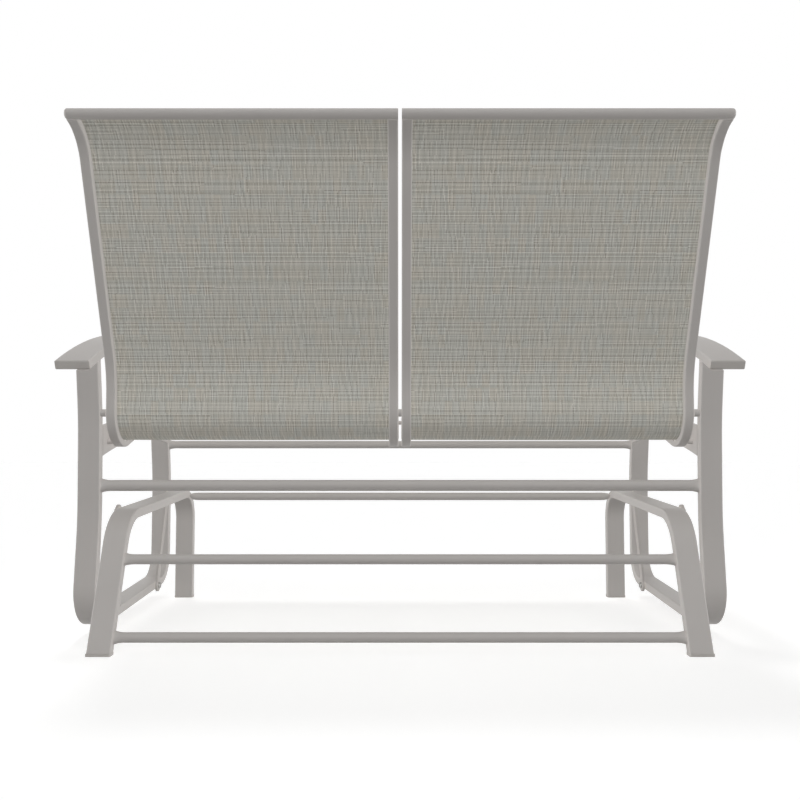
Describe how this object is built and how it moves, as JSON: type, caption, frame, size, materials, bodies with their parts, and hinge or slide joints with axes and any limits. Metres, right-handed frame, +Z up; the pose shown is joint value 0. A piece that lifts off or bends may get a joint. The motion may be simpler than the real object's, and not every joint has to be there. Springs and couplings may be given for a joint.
{
  "type": "two-seat patio glider",
  "caption": "Sling patio glider: a bent-tube seat with woven back-and-seat panels and arched arms, swinging fore and aft on hanger straps from a fixed floor base.",
  "frame": {"origin": "centre of the footprint's box, on the floor", "axes": "+Z up, -Y the way the seat faces, +X to the sitter's left"},
  "size_m": [1.364, 0.8108, 0.969],
  "materials": {
    "frame_coat": "warm grey powder coat on aluminium tube",
    "hanger_coat": "warm grey powder coat on flat steel strap",
    "bush_nylon": "moulded nylon",
    "bolt_steel": "plain stainless steel",
    "moulded_cap": "moulded plastic in the frame's colour",
    "sling_mesh": "coated polyester mesh woven from grey and tan yarns",
    "spline_cord": "extruded plastic rod"
  },
  "bodies": {
    "base": {"base_side_left": "frame_coat", "base_side_right": "frame_coat", "base_lower_tube": "frame_coat", "base_middle_tube": "frame_coat", "base_front_tube": "frame_coat", "foot_glides_rear": "moulded_cap", "foot_glides_front": "moulded_cap", "upper_pivot_bolts": "bolt_steel", "upper_pivot_nuts": "bolt_steel"},
    "hanger_front_left": {"hanger_front_left": "hanger_coat", "hanger_bushes_front_left": "bush_nylon"},
    "hanger_front_right": {"hanger_front_right": "hanger_coat", "hanger_bushes_front_right": "bush_nylon"},
    "hanger_rear_left": {"hanger_rear_left": "hanger_coat", "hanger_bushes_rear_left": "bush_nylon"},
    "hanger_rear_right": {"hanger_rear_right": "hanger_coat", "hanger_bushes_rear_right": "bush_nylon"},
    "seat": {"seat_side_left": "frame_coat", "seat_side_right": "frame_coat", "armrest_left": "frame_coat", "armrest_right": "frame_coat", "side_stretcher_left": "frame_coat", "side_stretcher_right": "frame_coat", "seat_rear_tube": "frame_coat", "seat_front_tube": "frame_coat", "sling_rail_outer_left": "frame_coat", "sling_rail_outer_right": "frame_coat", "sling_rail_inner_left": "frame_coat", "sling_rail_inner_right": "frame_coat", "top_bar_left": "frame_coat", "top_bar_right": "frame_coat", "front_bar_left": "frame_coat", "front_bar_right": "frame_coat", "leg_spacers": "frame_coat", "stretcher_spacers": "frame_coat", "centre_studs": "frame_coat", "lower_pivot_bolts": "bolt_steel", "lower_pivot_nuts": "bolt_steel", "leg_bolts": "bolt_steel", "stretcher_bolts": "bolt_steel", "bar_plugs": "moulded_cap", "armrest_caps_left": "moulded_cap", "armrest_caps_right": "moulded_cap", "sling_left": "sling_mesh", "sling_right": "sling_mesh", "spline_rods_left": "spline_cord", "spline_rods_right": "spline_cord"}
  },
  "joints": [
    {"name": "hanger_front_left_swing", "type": "hinge", "parent": "base", "child": "hanger_front_left", "pos_m": [0.5735, -0.249, 0.26222], "axis": [1, 0, 0], "range_deg": [-14, 14]},
    {"name": "seat_level", "type": "hinge", "parent": "hanger_front_left", "child": "seat", "pos_m": [0.5905, -0.249, 0.04322], "axis": [1, 0, 0], "range_deg": [-14, 14]},
    {"name": "hanger_front_right_swing", "type": "hinge", "parent": "base", "child": "hanger_front_right", "pos_m": [-0.5735, -0.249, 0.26222], "axis": [1, 0, 0], "range_deg": [-14, 14]},
    {"name": "hanger_rear_left_swing", "type": "hinge", "parent": "base", "child": "hanger_rear_left", "pos_m": [0.5735, 0.107, 0.24761], "axis": [1, 0, 0], "range_deg": [-14, 14]},
    {"name": "hanger_rear_right_swing", "type": "hinge", "parent": "base", "child": "hanger_rear_right", "pos_m": [-0.5735, 0.107, 0.24761], "axis": [1, 0, 0], "range_deg": [-14, 14]}
  ],
  "couplings": [
    {"joint": "seat_level", "follows": "hanger_front_left_swing", "ratio": -1},
    {"joint": "hanger_front_right_swing", "follows": "hanger_front_left_swing", "ratio": 1},
    {"joint": "hanger_rear_left_swing", "follows": "hanger_front_left_swing", "ratio": 1},
    {"joint": "hanger_rear_right_swing", "follows": "hanger_front_left_swing", "ratio": 1}
  ]
}
